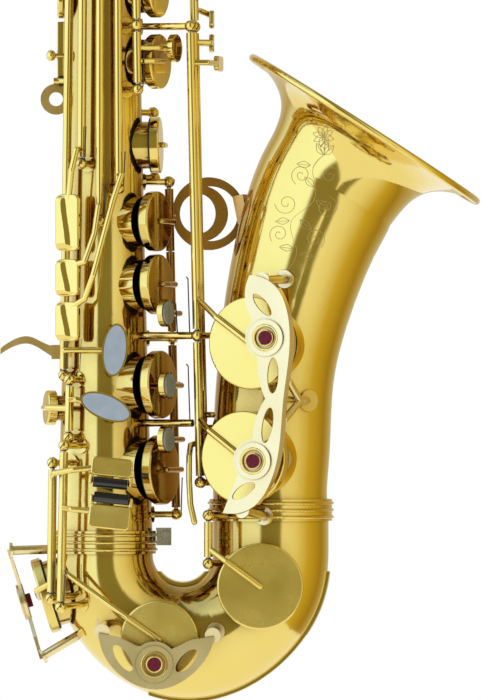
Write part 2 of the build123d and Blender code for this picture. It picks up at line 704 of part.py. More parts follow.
def guard_foot(start, end):
    """Flanged pillar from the tube up to a guard's plane."""
    out = (end - start).normalized()
    return disc(start, out, 4.2, 1.6) + bar(start, end, 2.1) + disc(end - out * 1.2, out, 3.6, 1.2)


def crescent_guard(plane):
    """Guard of a bow key: a crescent with one hub and two eyes; x runs tip to tip, y towards the tips."""
    lower = Spline((-25.3, 14.3), (-19.8, -0.7), (0.9, -11.5), (20.7, -1.1), (27.3, 12.8))
    upper = Polyline((27.3, 12.8), (16.7, 11.2), (8.0, 7.0), (-8.0, 8.4), (-16.5, 12.6), (-25.3, 14.3))
    lobes = [(0, 0, 10.4)]
    eyes = [(-14.4, 2.8, 7.0, 2.7, -56), (14.6, 1.6, 6.6, 2.9, 47)]
    return guard_from(lower + upper, plane, lobes, eyes)


def build_guards(eflat_centre, eflat_normal):
    guard, plane, lobes = bell_guard()
    bell_feet = [
        (Vector(83.0, -29.0, 193.2), Vector(72.1, -50.7, 192.6)),
        (Vector(73.6, -27.8, 84.6), Vector(63.0, -47.7, 87.6)),
    ]
    for start, end in bell_feet:
        guard = guard + guard_foot(start, end)
    side_start = Vector(92.9, -21.5, 137.5)
    fork = wire_arm([side_start, Vector(89.5, -38, 137.5), Vector(84.5, -47.5, 146)], 1.7)
    fork = fork + wire_arm([Vector(89.5, -38, 137.5), Vector(82.5, -46.8, 129)], 1.7)
    guard = guard + fork + disc(side_start, Vector(0.62, -0.78, 0), 5.0, 1.6)
    PARTS["bell_key_guard"] = guard - BELL_OUTER - BELL_RING_OUTER
    felts = [felt(plane, x, y) for x, y, radius in lobes]

    c_plane = Plane(origin=(23.0, -44.5, 17.3), x_dir=(1, 0, 0), z_dir=(0, -1, 0))
    c_guard = crescent_guard(c_plane)
    c_guard = c_guard + guard_foot(Vector(0.2, -19.5, 35.0), Vector(-0.9, -44.9, 32.0))
    c_guard = c_guard + guard_foot(Vector(51.0, -25.5, 32.0), Vector(49.6, -44.9, 30.4))
    c_guard = c_guard - BOW_OUTER
    felts.append(felt(c_plane, 0, 0))

    origin = eflat_centre + eflat_normal * 12.4 + Vector(0, 9.0, 0)
    e_plane = Plane(origin=origin, x_dir=Vector(0, 1, 0).cross(eflat_normal) * -1, z_dir=eflat_normal)
    e_guard = crescent_guard(e_plane)
    up = e_plane.x_dir
    across = e_plane.y_dir
    for x, y in ((-24.6, 13.4), (26.4, 12.2)):
        end = origin + up * x + across * y + eflat_normal * 0.2
        root = Vector(6.0, 0, 70) if end.Z > 50 else bow_axis(42)
        e_guard = e_guard + guard_foot(root + (end - root).normalized() * 21.5, end)
    e_guard = e_guard - BOW_OUTER - BODY_RING_OUTER - BODY_OUTER
    PARTS["bow_key_guards"] = Compound(children=[c_guard, e_guard])
    felts.append(felt(e_plane, 0, 0))
    PARTS["guard_felts"] = Compound(children=felts)


# ---------------------------------------------------------------- fittings on the body
def strap_ring():
    ring = Pos(RING_X, 0, RING_Z) * Rot(90, 0, 0) * (Cylinder(7.1, 3.0))
    neck = Pos(-18.2, 0, RING_Z) * Box(6.0, 3.0, 10.5)
    foot = Pos(-16.9, 0, RING_Z) * Box(2.4, 9.0, 22.0)
    bore = Pos(RING_X, 0, RING_Z) * Rot(90, 0, 0) * Cylinder(3.2, 20.0)
    return ring + neck + foot - bore - BODY_OUTER


def thumb_hook():
    upper = Spline((-23, 162.5), (-29, 164.4), (-35.4, 167.0), (-42, 165.4), (-48, 161.4))
    lower = Spline((-48, 158.8), (-42, 162.3), (-35.4, 163.6), (-29, 160.8), (-23, 157.0))
    outline = upper + Line((-48, 161.4), (-48, 158.8)) + lower + Line((-23, 157.0), (-23, 162.5))
    hook = extrude(Plane.XZ * make_face(outline), 6.0, both=True)
    stem = Pos(-21.5, 0, 159.8) * Box(6.0, 12.0, 6.5)
    foot = Pos(-19.4, 0, 159.8) * Box(2.6, 13.0, 24.0)
    return hook + stem + foot - BODY_OUTER


def thumb_rest():
    base = Vector(-15.0, 0, 322)
    out = Vector(-1, 0, 0)
    rest = disc(base, out, 5.0, 4.0) + fillet(disc(base + out * 3.6, out, 9.0, 3.2).edges(), 0.9).solid()
    return rest - BODY_OUTER


def bell_brace():
    """Ring between body and bell, with a round window and a crescent slot, and a foot at each end."""
    centre_x = 47.6
    centre_z = 223.5
    ring = extrude(Pos(centre_x, centre_z) * Circle(16.8), 2.2, both=True)
    ring -= extrude(Pos(42.6, centre_z) * Ellipse(8.2, 9.2), 4, both=True)
    slot = Pos(48.4, centre_z) * Circle(12.6) - Pos(43.6, centre_z) * Circle(13.0)
    ring -= extrude(slot, 4, both=True)
    ring = Plane(origin=(0, 14.5, 0), x_dir=(1, 0, 0), z_dir=(0, -1, 0)).location * ring
    stem = Pos(23.5, 14.5, centre_z) * Rot(0, 90, 0) * Cylinder(2.6, 18)
    body_foot = Plane(origin=(11.6, 13.6, centre_z), z_dir=(0.65, 0.76, 0)).location * Cylinder(7.5, 3.2)
    bell_foot = Plane(origin=(65.2, 14.5, 225.5), z_dir=(0.93, -0.3, 0.2)).location * Box(20, 13, 5.0)
    return ring + stem + body_foot + bell_foot - BODY_OUTER - BELL_OUTER


def bow_guard():
    """Thin strip along the outside of the bow."""
    shell = bow_solid(1.3, 0) - BOW_OUTER
    slab = Pos(75, 0, 20) * Box(110, 11, 78)
    return shell & slab


def ring_screw():
    """Clamp lugs and screw of the body ring."""
    lugs = Pos(27.0, -4.5, 75.0) * Box(7, 2.6, 8) + Pos(27.0, 1.0, 75.0) * Box(7, 2.6, 8)
    screw = Plane(origin=(28.0, -8.4, 75.0), z_dir=(0, 1, 0)).location * (
        Cylinder(1.5, 12, align=(Align.CENTER, Align.CENTER, Align.MIN))
        + Cylinder(2.6, 2.4, align=(Align.CENTER, Align.CENTER, Align.MIN)))
    return lugs + screw - BODY_RING_OUTER


# ---------------------------------------------------------------- neck and mouthpiece
NECK_RISE = 34.0
NECK_BEND_R = 46.0
NECK_TURN = 98.0
NECK_RUN = 62.0
TENON_R = 12.3
CORK_R = 8.4
NECK_TIP_R = 7.2


def neck_station(distance):
    """Centre and heading on the neck's centre line, by distance from its base."""
    base_z = BODY_TOP_Z + 12.0
    if distance <= NECK_RISE:
        return Vector(0, 0, base_z + distance), Vector(0, 0, 1)
    arc = math.radians(NECK_TURN) * NECK_BEND_R
    turn = min((distance - NECK_RISE) / NECK_BEND_R, math.radians(NECK_TURN))
    centre = Vector(-NECK_BEND_R, 0, base_z + NECK_RISE)
    point = centre + Vector(math.cos(turn), 0, math.sin(turn)) * NECK_BEND_R
    heading = Vector(-math.sin(turn), 0, math.cos(turn))
    return point + heading * max(0.0, distance - NECK_RISE - arc), heading


NECK_LENGTH = NECK_RISE + math.radians(NECK_TURN) * NECK_BEND_R + NECK_RUN


def neck_solid(grow, overrun=0.0):
    sections = []
    for step in range(9):
        distance = NECK_LENGTH * step / 8 + (overrun if step == 8 else 0)
        point, heading = neck_station(distance)
        radius = 12.0 + (NECK_TIP_R - 12.0) * (step / 8) ** 0.9 + grow
        sections.append(Plane(origin=point, x_dir=(0, 1, 0), z_dir=heading) * Circle(radius))
    return loft(sections)


def build_neck():
    receiver = Pos(0, 0, BODY_TOP_Z - 16) * Cylinder(16.2, 26, align=(Align.CENTER, Align.CENTER, Align.MIN))
    receiver = fillet(receiver.edges(), 1.0)
    lug = Pos(17.5, 0, BODY_TOP_Z - 3) * Box(9, 8, 14)
    slot = Pos(20.0, 0, BODY_TOP_Z - 3) * Box(20, 1.2, 30)
    bore = Pos(0, 0, BODY_TOP_Z - 18) * Cylinder(TENON_R + 0.05, 40, align=(Align.CENTER, Align.CENTER, Align.MIN))
    PARTS["neck_receiver"] = receiver + lug - slot - bore - BODY_OUTER
    screw = Plane(origin=(19.0, 15.0, BODY_TOP_Z - 3), z_dir=(0, -1, 0)).location
    head = screw * (Box(9, 14, 3.0) + Cylinder(2.0, 22, align=(Align.CENTER, Align.CENTER, Align.MIN)))
    PARTS["neck_receiver"] = PARTS["neck_receiver"] - screw * Cylinder(2.0, 60)
    PARTS["clamp_screws"] = Compound(children=[head, ring_screw()])

    tenon = Pos(0, 0, BODY_TOP_Z - 6) * Cylinder(TENON_R, 20, align=(Align.CENTER, Align.CENTER, Align.MIN))
    collar = Pos(0, 0, BODY_TOP_Z + 10.5) * Cylinder(14.6, 5, align=(Align.CENTER, Align.CENTER, Align.MIN))
    neck = tenon + fillet(collar.edges(), 0.8) + neck_solid(0)
    inner = neck_solid(-0.9, 2.0)
    inner += Pos(0, 0, BODY_TOP_Z - 7) * Cylinder(10.9, 20, align=(Align.CENTER, Align.CENTER, Align.MIN))
    tip, heading = neck_station(NECK_LENGTH)
    cork_start, cork_heading = neck_station(NECK_LENGTH - 34)
    PARTS["neck_cork"] = bar(cork_start, tip, CORK_R) - neck_solid(0)

    mouth_base = tip - heading * 20
    mouth = loft([
        Plane(origin=mouth_base, x_dir=(0, 1, 0), z_dir=heading) * Circle(13.2),
        Plane(origin=mouth_base + heading * 34, x_dir=(0, 1, 0), z_dir=heading) * Circle(11.6),
    ])
    beak_low = Plane(origin=mouth_base + heading * 34, x_dir=(0, 1, 0), z_dir=heading)
    down = beak_low.y_dir if beak_low.y_dir.Z < 0 else beak_low.y_dir * -1
    beak_tip = Plane(origin=mouth_base + heading * 84 + down * 7.0, x_dir=(0, 1, 0), z_dir=heading)
    mouth += loft([beak_low * Circle(11.6), beak_tip * Rectangle(16.0, 3.2)])
    cut = Plane(origin=mouth_base + heading * 60 + down * 16.6, x_dir=(0, 1, 0), z_dir=heading)
    mouth -= cut.location * Box(40, 14, 110)
    mouth -= bar(mouth_base - heading, mouth_base + heading * 20.3, CORK_R)
    mouth -= bar(mouth_base, mouth_base + heading * 66, 6.4)
    mouth -= neck_solid(0.1)
    PARTS["mouthpiece"] = mouth
    reed_plane = Plane(origin=mouth_base + heading * 62 + down * 10.5, x_dir=(0, 1, 0), z_dir=heading)
    PARTS["reed"] = reed_plane.location * Box(13.4, 1.7, 42)
    band = bar(mouth_base + heading * 36, mouth_base + heading * 56, 14.2)
    PARTS["ligature"] = band - bar(mouth_base + heading * 35, mouth_base + heading * 57, 13.3)

    point, up_heading = neck_station(NECK_RISE + 36)
    outward = Vector(up_heading.Z, 0, -up_heading.X)
    pivot = point + outward * 17.0
    key = Key("neck_octave_key", pivot - Vector(0, 5, 0), pivot + Vector(0, 5, 0))
    pad_point, pad_heading = neck_station(NECK_RISE + 70)
    pad_out = Vector(pad_heading.Z, 0, -pad_heading.X)
    pad_centre = pad_point + pad_out * 14.5
    key.add(key_cup(pad_centre, pad_out, 4.2))
    arm = [pad_centre + pad_out * ARM_HEIGHT, pivot]
    for distance, lift in ((NECK_RISE + 12, 18.0), (NECK_RISE - 6, 19.5), (8, 22.5)):
        point_below, heading_below = neck_station(distance)
        arm.append(point_below + Vector(heading_below.Z, 0, -heading_below.X) * lift)
    key.add(wire_arm(arm, 1.6))
    key.keep(1, 5, 0)
    pip = bar(pad_point + pad_out * 8.5, pad_centre - pad_out * PAD_GAP, 2.4)
    saddle = bar(pivot - Vector(0, 8.6, 0), pivot + Vector(0, 8.6, 0), ROD_R)
    saddle += bar(pivot - Vector(0, 8.6, 0), pivot - Vector(0, 5.4, 0), 3.0)
    saddle += bar(pivot + Vector(0, 5.4, 0), pivot + Vector(0, 8.6, 0), 3.0)
    for side in (-7, 7):
        saddle += bar(point + outward * 8 + Vector(0, side, 0), pivot + Vector(0, side, 0), 1.5)
    PARTS["neck"] = neck + pip + saddle - inner


# ---------------------------------------------------------------- assembly
BODY_OUTER = turned_body(0, BODY_BOTTOM_Z, BODY_TOP_Z)
BOW_OUTER = bow_solid(0, 0)
BELL_OUTER = bell_loft(0) + bell_frame().location * revolve(
    make_face(Polyline(*[(r, 0, -d) for r, d in FLARE], (0, 0, 0), (0, 0, -31), (33.8, 0, -31))), Axis.Z)
BODY_RING_OUTER = Pos(0, 0, 67.0) * Cylinder(24.4, 11, align=(Align.CENTER, Align.CENTER, Align.MIN))
BELL_RING_OUTER = Pos(76.2, 0, 82.0) * Cylinder(29.2, 11.6, align=(Align.CENTER, Align.CENTER, Align.MIN))

low_bell_keys()
table_levers()
low_csharp_key()
low_c_key()
EFLAT_CENTRE, EFLAT_NORMAL = low_eflat_key()
right_hand_stack()
left_hand_stack()
gsharp_key()
side_keys()
trill_keys()
palm_keys()
octave_key()


def with_holes(outer, inner, holes):
    for chimney, bore in holes:
        outer = outer + chimney
    outer = outer - inner
    for chimney, bore in holes:
        outer = outer - bore
    return outer


PARTS["body_tube"] = with_holes(BODY_OUTER, turned_body(-WALL, BODY_BOTTOM_Z - 1, BODY_TOP_Z + 1), BODY_HOLES)
PARTS["bow"] = with_holes(BOW_OUTER, bow_solid(-WALL, 1), BOW_HOLES)
bell = bell_loft(0)
for chimney, bore in BELL_HOLES:
    bell = bell + chimney
bell = bell - bell_loft(-WALL)
for chimney, bore in BELL_HOLES:
    bell = bell - bore
PARTS["bell"] = bell + bell_flare()
PARTS["joint_rings"] = Compound(children=[
    ribbed_ring(0, 67.2, 77.6, BOW_START_R + 0.1, 1.4),
    ribbed_ring(76.2, 82.3, 92.2, BOW_END_R + BELL_RING_GAP, 1.3),
])
PARTS["bow_guard"] = bow_guard()
PARTS["bell_brace"] = bell_brace()
PARTS["strap_ring"] = strap_ring()
PARTS["thumb_hook"] = thumb_hook()
PARTS["thumb_rest"] = thumb_rest()
build_guards(EFLAT_CENTRE, EFLAT_NORMAL)
build_neck()
post_solids = []
for shape in POSTS:
    shape = shape - BODY_OUTER - BOW_OUTER - BELL_OUTER - BODY_RING_OUTER - BELL_RING_OUTER - RODS
    shape = shape - [chimney for chimney, bore in BODY_HOLES + BOW_HOLES + BELL_HOLES]
    post_solids.append(shape.solids().sort_by(SortBy.VOLUME)[-1])
PARTS["key_posts"] = Compound(children=post_solids)
PARTS["hinge_rods"] = Compound(children=RODS)

if __name__ == "__main__":
    os.makedirs("parts", exist_ok=True)
    for name, shape in PARTS.items():
        export_step(Pos(-RING_X, 0, -RING_Z) * shape, f"parts/{name}.step")
    for name, (point, direction, travel) in HINGES.items():
        print(name, [round(v, 3) for v in point], [round(v, 4) for v in direction], travel)
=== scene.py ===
import json
import math

import bmesh
import bpy
from mathutils import Matrix, Vector


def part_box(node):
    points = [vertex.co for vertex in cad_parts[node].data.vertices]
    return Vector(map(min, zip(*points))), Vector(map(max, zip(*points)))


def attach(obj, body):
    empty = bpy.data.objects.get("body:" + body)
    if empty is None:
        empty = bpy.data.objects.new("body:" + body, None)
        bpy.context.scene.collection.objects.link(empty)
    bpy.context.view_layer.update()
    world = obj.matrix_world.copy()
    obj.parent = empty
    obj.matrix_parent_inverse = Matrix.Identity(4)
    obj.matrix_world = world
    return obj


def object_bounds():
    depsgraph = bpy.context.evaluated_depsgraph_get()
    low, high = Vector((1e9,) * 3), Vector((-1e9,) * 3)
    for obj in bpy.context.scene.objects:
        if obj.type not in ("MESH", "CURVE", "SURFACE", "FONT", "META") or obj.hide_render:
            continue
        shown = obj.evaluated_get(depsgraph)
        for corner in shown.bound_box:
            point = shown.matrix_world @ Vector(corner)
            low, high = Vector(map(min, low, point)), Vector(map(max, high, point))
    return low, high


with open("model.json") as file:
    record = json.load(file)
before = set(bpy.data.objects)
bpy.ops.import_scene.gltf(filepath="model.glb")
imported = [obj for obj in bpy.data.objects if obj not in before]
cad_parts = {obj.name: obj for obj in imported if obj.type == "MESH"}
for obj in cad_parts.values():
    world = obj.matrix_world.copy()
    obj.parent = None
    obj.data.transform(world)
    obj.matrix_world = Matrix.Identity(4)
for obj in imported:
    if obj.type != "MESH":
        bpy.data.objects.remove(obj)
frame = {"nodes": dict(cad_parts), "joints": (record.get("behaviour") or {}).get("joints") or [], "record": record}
CAD_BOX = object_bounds()
NODES = frame["nodes"]
RECORD = frame["record"]
JOINTS = {joint["child"]: joint for joint in frame["joints"]}


# ---------------------------------------------------------------- materials
MATERIALS = {}


def new_material(name):
    material = bpy.data.materials.new(name)
    MATERIALS[name] = material
    material.use_nodes = True
    tree = material.node_tree
    return tree, tree.nodes["Principled BSDF"]


def noise(tree, scale, detail):
    """Noise in the object's own coordinates."""
    coordinate = tree.nodes.new("ShaderNodeTexCoord")
    texture = tree.nodes.new("ShaderNodeTexNoise")
    texture.inputs["Scale"].default_value = scale
    texture.inputs["Detail"].default_value = detail
    tree.links.new(coordinate.outputs["Object"], texture.inputs["Vector"])
    return texture.outputs["Fac"]


def to_range(tree, value, low, high, start=0.3, end=0.7):
    mapped = tree.nodes.new("ShaderNodeMapRange")
    mapped.inputs["From Min"].default_value = start
    mapped.inputs["From Max"].default_value = end
    mapped.inputs["To Min"].default_value = low
    mapped.inputs["To Max"].default_value = high
    tree.links.new(value, mapped.inputs["Value"])
    return mapped.outputs["Result"]


def blended(tree, value, first, second, start=0.35, end=0.65):
    ramp = tree.nodes.new("ShaderNodeValToRGB")
    ramp.color_ramp.elements[0].position = start
    ramp.color_ramp.elements[0].color = (*first, 1)
    ramp.color_ramp.elements[1].position = end
    ramp.color_ramp.elements[1].color = (*second, 1)
    tree.links.new(value, ramp.inputs["Fac"])
    return ramp.outputs["Color"]


def bump(tree, shader, height, strength, distance):
    node = tree.nodes.new("ShaderNodeBump")
    node.inputs["Strength"].default_value = strength
    node.inputs["Distance"].default_value = distance
    tree.links.new(height, node.inputs["Height"])
    tree.links.new(node.outputs["Normal"], shader.inputs["Normal"])


# painted shade of the brass finishes: how far ambient occlusion reaches, in metres, then the occlusion at full and
# at no darkening
NARROW_SHADE = (0.014, 0.25, 0.80)
TUBE_SHADE = (0.080, 0.22, 0.74)
STACK_SHADE = (0.080, 0.40, 0.93)
# share of each colour left under full painted shade in the recesses
PAINTED_SHADE_TINT = (0.36, 0.22, 0.10)


def brass(name, light, deep, rough_low, rough_high, ripple, coat=0.6, shade=NARROW_SHADE):
    """Lacquered brass: colour drifts at random and is darkened by painted shade in the recesses, lacquer has faint
    smears and long ripples.

    shade is how far a neighbour casts this painted shade, in metres, then the ambient occlusion at the darkest and
    at the lightest.
    """
    reach, darkest, lightest = shade
    tree, shader = new_material(name)
    shader.inputs["Metallic"].default_value = 1.0
    shader.inputs["Coat Weight"].default_value = coat
    shader.inputs["Coat Roughness"].default_value = 0.04
    # painted shade: ambient occlusion pulls the base colour towards a darker tint in recesses and between parts
    painted_shade_occlusion = tree.nodes.new("ShaderNodeAmbientOcclusion")
    painted_shade_occlusion.samples = 6
    painted_shade_occlusion.inputs["Distance"].default_value = reach
    painted_shade_mix = tree.nodes.new("ShaderNodeMix")
    painted_shade_mix.data_type = "RGBA"
    painted_shade_mix.inputs["A"].default_value = (*[channel * tint for channel, tint in zip(light, PAINTED_SHADE_TINT)], 1)
    tree.links.new(blended(tree, noise(tree, 14.0, 4.0), light, deep), painted_shade_mix.inputs["B"])
    unshaded_share = to_range(tree, painted_shade_occlusion.outputs["AO"], 0.0, 1.0, darkest, lightest)
    tree.links.new(unshaded_share, painted_shade_mix.inputs["Factor"])
    tree.links.new(painted_shade_mix.outputs["Result"], shader.inputs["Base Color"])
    tree.links.new(to_range(tree, noise(tree, 60.0, 5.0), rough_low, rough_high), shader.inputs["Roughness"])
    bump(tree, shader, noise(tree, 55.0, 2.0), ripple, 0.0004)


def plain(name, first, second, scale, rough_low, rough_high, bump_scale, bump_strength,
          metallic=0.0, coat=0.0):
    """Two colours in a fine mottle, with uneven roughness and a fine bump."""
    tree, shader = new_material(name)
    shader.inputs["Metallic"].default_value = metallic
    shader.inputs["Coat Weight"].default_value = coat
    tree.links.new(blended(tree, noise(tree, scale, 4.0), first, second), shader.inputs["Base Color"])
    roughness = to_range(tree, noise(tree, scale * 3, 4.0), rough_low, rough_high)
    tree.links.new(roughness, shader.inputs["Roughness"])
    bump(tree, shader, noise(tree, bump_scale, 4.0), bump_strength, 0.0003)


LIGHT_GOLD = (0.91, 0.72, 0.20)
DEEP_GOLD = (0.88, 0.68, 0.16)
# every brass finish is darkened by painted shade in its recesses, from brass()
brass("lacquered_brass", LIGHT_GOLD, DEEP_GOLD, 0.06, 0.13, 0.12)
# copies of the same brass that differ only in how much painted shade they carry
brass("tube_brass_painted_shade", LIGHT_GOLD, DEEP_GOLD, 0.06, 0.13, 0.12, shade=TUBE_SHADE)
brass("stack_brass_painted_shade", LIGHT_GOLD, DEEP_GOLD, 0.06, 0.13, 0.12, shade=STACK_SHADE)
brass("touch_brass", LIGHT_GOLD, DEEP_GOLD, 0.20, 0.30, 0.10)
brass("satin_brass", (0.92, 0.80, 0.45), (0.88, 0.74, 0.38), 0.22, 0.32, 0.06, 0.3)
plain("hinge_steel", (0.62, 0.60, 0.55), (0.45, 0.43, 0.38), 90, 0.18, 0.34, 400, 0.10, 1.0)
brass("cast_brass", (0.93, 0.72, 0.32), (0.88, 0.64, 0.24), 0.24, 0.34, 0.10, 0.3)
brass("amber_brass", (0.72, 0.43, 0.11), (0.60, 0.32, 0.07), 0.16, 0.26, 0.12, 0.5)
brass("engraving", (0.60, 0.46, 0.18), (0.50, 0.38, 0.14), 0.38, 0.50, 0.10, 0.2)
# near-black matte used for painted shade: tone-hole linings and slot lines
plain("bore_shade", (0.020, 0.012, 0.006), (0.035, 0.020, 0.010), 120, 0.5, 0.7, 400, 0.2)
plain("spring_steel", (0.05, 0.055, 0.07), (0.09, 0.09, 0.10), 300, 0.25, 0.4, 500, 0.1, 1.0)
plain("pearl", (0.47, 0.54, 0.64), (0.41, 0.49, 0.58), 160, 0.14, 0.22, 300, 0.04, 0.0, 0.5)
plain("grey_pearl", (0.36, 0.38, 0.33), (0.29, 0.31, 0.27), 160, 0.14, 0.22, 300, 0.04, 0.0, 0.5)
plain("felt", (0.16, 0.004, 0.022), (0.26, 0.010, 0.045), 900, 0.85, 0.95, 2500, 0.6)
plain("pad_leather", (0.012, 0.010, 0.008), (0.03, 0.022, 0.016), 300, 0.45, 0.65, 900, 0.4)
plain("black_resin", (0.010, 0.010, 0.011), (0.018, 0.018, 0.020), 60, 0.10, 0.18, 200, 0.03, 0.0, 0.5)
plain("cork", (0.50, 0.30, 0.16), (0.34, 0.19, 0.09), 500, 0.75, 0.9, 900, 0.6)
plain("cane", (0.72, 0.58, 0.30), (0.60, 0.46, 0.22), 150, 0.45, 0.6, 900, 0.3)

SLOT_OF = {row["node"]: row["material_slot"] for row in RECORD["subparts"]}
FINISH_OF = {
    "strap_ring": "cast_brass", "thumb_hook": "cast_brass", "bell_brace": "amber_brass",
    "d_pearl": "grey_pearl", "e_pearl": "grey_pearl", "f_pearl": "grey_pearl",
    # tubes and stack keys take the brass copies with wider painted shade
    "body_tube": "tube_brass_painted_shade", "bow": "tube_brass_painted_shade", "bell": "tube_brass_painted_shade", "joint_rings": "tube_brass_painted_shade",
    "d_key": "stack_brass_painted_shade", "e_key": "stack_brass_painted_shade", "f_key": "stack_brass_painted_shade", "fsharp_key": "stack_brass_painted_shade",
    "low_c_key": "touch_brass", "low_eflat_key": "touch_brass", "low_csharp_key": "touch_brass",
}
for node_name, node in NODES.items():
    node.data.materials.clear()
    node.data.materials.append(MATERIALS[FINISH_OF.get(node_name, SLOT_OF[node_name])])
    node.data.shade_smooth()
    node.data.set_sharp_from_angle(angle=math.radians(32))


# ---------------------------------------------------------------- helpers for the added pieces
def at(x, y, z):
    """Point given in millimetres from the body tube's axis and the bow's lowest point."""
    return Vector(((x + 22.5) / 1000, y / 1000, (z - 276) / 1000))


def keep(piece, body, finish):
    piece.data.materials.append(MATERIALS[finish])
    bpy.context.scene.collection.objects.link(piece)
    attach(piece, body)
    return piece


def lathe(name, centre, axis, profile, hollow=False, segments=48):
    """Turned solid of (radius, height along axis) rows in millimetres; hollow joins the last to the first."""
    place = Matrix.Translation(centre) @ Vector((0, 0, 1)).rotation_difference(axis).to_matrix().to_4x4()
    build = bmesh.new()
    rings = []
    for radius, height in profile:
        turn = [math.tau * step / segments for step in range(segments)]
        corners = [(radius * math.cos(t) / 1000, radius * math.sin(t) / 1000, height / 1000) for t in turn]
        rings.append([build.verts.new(place @ Vector(corner)) for corner in corners])
    for lower, upper in zip(rings, rings[1:] + rings[:1] if hollow else rings[1:]):
        for step in range(segments):
            after = (step + 1) % segments
            build.faces.new((lower[step], lower[after], upper[after], upper[step]))
    if not hollow:
        build.faces.new(rings[0])
        build.faces.new(rings[-1])
    bmesh.ops.recalc_face_normals(build, faces=build.faces)
    mesh = bpy.data.meshes.new(name)
    build.to_mesh(mesh)
    build.free()
    mesh.shade_smooth()
    mesh.set_sharp_from_angle(angle=math.radians(40))
    return bpy.data.objects.new(name, mesh)


def wires(name, runs, radius, smooth=True):
    """Round wires through runs of points, in one curve; radius in millimetres."""
    curve = bpy.data.curves.new(name, "CURVE")
    curve.dimensions = "3D"
    curve.bevel_depth = radius / 1000
    curve.bevel_resolution = 3
    curve.use_fill_caps = True
    for run in runs:
        spline = curve.splines.new("NURBS" if smooth else "POLY")
        spline.points.add(len(run) - 1)
        for point, place in zip(spline.points, run):
            point.co = (*place, 1)
        if smooth:
            spline.order_u = 3
            spline.use_endpoint_u = True
            spline.resolution_u = 6
    return bpy.data.objects.new(name, curve)


def slab(name, centre, size, bevel):
    """Block with rounded edges; size in millimetres."""
    build = bmesh.new()
    bmesh.ops.create_cube(build, size=1.0)
    bmesh.ops.scale(build, vec=Vector(size) / 1000, verts=build.verts)
    bmesh.ops.bevel(build, geom=build.edges, offset=bevel / 1000, segments=3, profile=0.6, affect="EDGES")
    bmesh.ops.translate(build, vec=centre, verts=build.verts)
    mesh = bpy.data.meshes.new(name)
    build.to_mesh(mesh)
    build.free()
    mesh.shade_smooth()
    return bpy.data.objects.new(name, mesh)


# ---------------------------------------------------------------- pads of the stacks, and painted shade in their tone holes
CHIMNEY = 3.5
# key, angle of its row, row's ends, cup height, cup radius
STACK_CUPS = [
    ("d_key", -32, (85, 240), 105.5, 16.0), ("e_key", -32, (85, 240), 144.6, 15.6),
    ("f_key", -32, (85, 240), 190.6, 13.8), ("fsharp_key", -32, (85, 240), 219.5, 13.8),
    ("g_key", -15, (280, 395), 293.0, 12.6), ("a_key", -15, (280, 395), 325.0, 11.8),
    ("b_key", -15, (280, 395), 352.5, 10.8), ("c_key", -15, (280, 395), 378.5, 9.6),
    ("gsharp_key", -5, (240, 270), 254.8, 13.0),
]
RESTS_CLOSED = {"gsharp_key"}


def tube_radius(z):
    drop = 548.0 - z
    return 13.25 + 0.00608 * drop + 2.585e-5 * drop * drop


def closed_cup(angle, ends, z):
    """Centre and outward normal of a closed pad on the body tube."""
    outward = Vector((math.cos(math.radians(angle)), math.sin(math.radians(angle)), 0))
    low, high = [at(0, 0, end) + outward * tube_radius(end) / 1000 for end in ends]
    along = (high - low).normalized()
    normal = (outward - along * outward.dot(along)).normalized()
    return low + along * (z - ends[0]) / 1000 + normal * CHIMNEY / 1000, normal


def stack_pads():
    for key, angle, ends, z, radius in STACK_CUPS:
        centre, normal = closed_cup(angle, ends, z)
        # dark lining inside each tone hole: painted shade of the hole's inner wall
        bore = radius - 3.15
        shade = lathe(f"{key}_tone_hole_shade", centre, normal,
                      [(bore, -0.4), (bore - 0.15, -0.4), (bore - 0.15, -7.5), (bore, -7.5)], hollow=True)
        keep(shade, "instrument", "bore_shade")
        joint = JOINTS[f"{key}_body"]
        if key not in RESTS_CLOSED:
            pivot = Vector(joint["pos_m"])
            turn = Matrix.Rotation(math.radians(-joint["range_deg"][1]), 3, Vector(joint["axis"]))
            centre = pivot + turn @ (centre - pivot)
            normal = turn @ normal
        wide = radius - 0.25
        seat = radius - 0.95
        bulge = [(wide - 0.9, 0.0), (wide - 0.3, 0.12), (wide, 0.42), (wide, 0.85), (seat, 0.88), (seat, 2.6)]
        pad = lathe(f"{key}_pad", centre, normal, bulge)
        keep(pad, f"{key}_body", "pad_leather")


stack_pads()


# ---------------------------------------------------------------- shapes read from the CAD nodes
def islands(node):
    """Corner clouds of the separate solids in a CAD node."""
    build = bmesh.new()
    build.from_mesh(node.data)
    bmesh.ops.remove_doubles(build, verts=build.verts, dist=1e-6)
    build.verts.ensure_lookup_table()
    build.verts.index_update()
    seen = set()
    clouds = []
    for start in build.verts:
        if start.index in seen:
            continue
        seen.add(start.index)
        queue = [start]
        cloud = []
        while queue:
            vert = queue.pop()
            cloud.append(vert.co.copy())
            for edge in vert.link_edges:
                other = edge.other_vert(vert)
                if other.index not in seen:
                    seen.add(other.index)
                    queue.append(other)
        clouds.append(cloud)
    build.free()
    return clouds


def ends_of(cloud):
    """Centres of the two ends of a round rod."""
    far = max(cloud, key=lambda point: (point - cloud[0]).length)
    near = max(cloud, key=lambda point: (point - far).length)
    axis = (far - near).normalized()
    reach = [point.dot(axis) for point in cloud]
    ends = []
    for limit in (min(reach), max(reach)):
        cap = [point for point, along in zip(cloud, reach) if abs(along - limit) < 4e-4]
        ends.append(sum(cap, Vector()) / len(cap))
    return ends


# ---------------------------------------------------------------- guard hubs
BELL_SIDE = math.radians(-109)
EFLAT_LEAN = math.radians(16.8)
MARK_LIFT = 0.02e-3


def hub_outward(centre):
    """Direction that a guard faces, told from where its felt lies: bell, far side of the bow, or front."""
    if centre.x > at(50, 0, 0).x and centre.z > at(0, 0, 90).z:
        return Vector((math.cos(BELL_SIDE), math.sin(BELL_SIDE), 0))
    if centre.x < at(-5, 0, 0).x:
        return Vector((-math.cos(EFLAT_LEAN), 0, -math.sin(EFLAT_LEAN)))
    return Vector((0, -1, 0))


